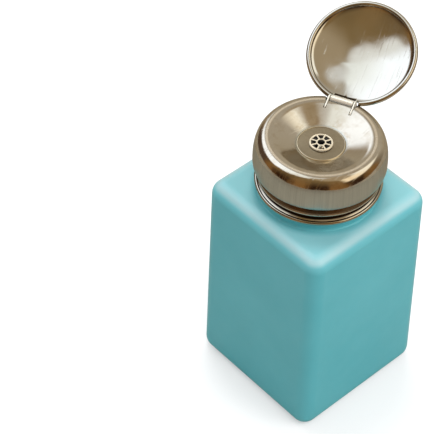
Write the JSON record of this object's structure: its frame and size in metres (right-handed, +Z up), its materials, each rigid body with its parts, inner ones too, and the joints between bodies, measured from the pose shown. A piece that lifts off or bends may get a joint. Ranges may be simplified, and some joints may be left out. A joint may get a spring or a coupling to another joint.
{
  "type": "nail_polish_remover_pump",
  "caption": "Square plastic bottle with a press-down stainless pump head: a concave dish with a nozzle in its middle, under a hinged domed lid",
  "frame": {"origin": "middle of the base, on the plane that the bottle stands on", "axes": "Z up; the bottle's four sides face along X and Y; the side with the scale faces +Y"},
  "size_m": [0.0618, 0.0783, 0.1271],
  "materials": {
    "teal_plastic": "matte, faintly translucent moulded polyethylene",
    "white_plastic": "moulded, semi-matt",
    "natural_plastic": "natural milky polyethylene",
    "black_plastic": "moulded acetal, semi-matt",
    "black_rubber": "smooth elastomer",
    "satin_steel": "satin, turned marks round the centre",
    "polished_steel": "polished stainless steel, warm in tone"
  },
  "bodies": {
    "bottle": {"bottle": "teal_plastic"},
    "pump": {"sealing_gasket": "black_rubber", "pump_cylinder": "white_plastic", "guide_bush": "white_plastic", "inlet_cage": "natural_plastic", "dip_tube": "natural_plastic"},
    "cap": {"collar": "polished_steel", "thread_insert": "white_plastic"},
    "spring_stage": {"spring_washer": "polished_steel", "return_spring": "polished_steel"},
    "head": {"piston": "white_plastic", "piston_seal": "black_rubber", "stem": "polished_steel", "head_hub": "black_plastic", "head_shell": "polished_steel", "centre_disc": "satin_steel", "nozzle_ring": "polished_steel", "nozzle_rosette": "polished_steel", "hinge_bracket": "polished_steel", "hinge_pin": "polished_steel"},
    "lid": {"lid": "polished_steel"},
    "inlet_valve": {"inlet_ball": "polished_steel"},
    "outlet_valve": {"outlet_ball": "polished_steel"}
  },
  "joints": [
    {"name": "pump_rise", "type": "slide", "parent": "bottle", "child": "pump", "axis": [0, 0, 1], "range_m": [0, 0.00397]},
    {"name": "cap_turn", "type": "hinge", "parent": "pump", "child": "cap", "pos_m": [0, 0, 0.095], "axis": [0, 0, 1], "range_deg": [0, 450]},
    {"name": "head_turn", "type": "hinge", "parent": "pump", "child": "spring_stage", "pos_m": [0, 0, 0.0982], "axis": [0, 0, 1], "continuous": true},
    {"name": "head_press", "type": "slide", "parent": "spring_stage", "child": "head", "axis": [0, 0, 1], "range_m": [-0.0055, 0], "stiffness_N_per_m": 600, "springref_m": 0.006, "deforming": ["return_spring"]},
    {"name": "lid_swing", "type": "hinge", "parent": "head", "child": "lid", "pos_m": [-0.00784, 0.0172, 0.1099], "axis": [0.91, 0.4147, 0], "range_deg": [0, 151.5]},
    {"name": "inlet_lift", "type": "slide", "parent": "pump", "child": "inlet_valve", "axis": [0, 0, 1], "range_m": [0, 0.0008]},
    {"name": "outlet_lift", "type": "slide", "parent": "head", "child": "outlet_valve", "axis": [0, 0, 1], "range_m": [0, 0.001]}
  ],
  "couplings": [
    {"joint": "cap_turn", "follows": "pump_rise", "rad_per_m": 1979}
  ]
}
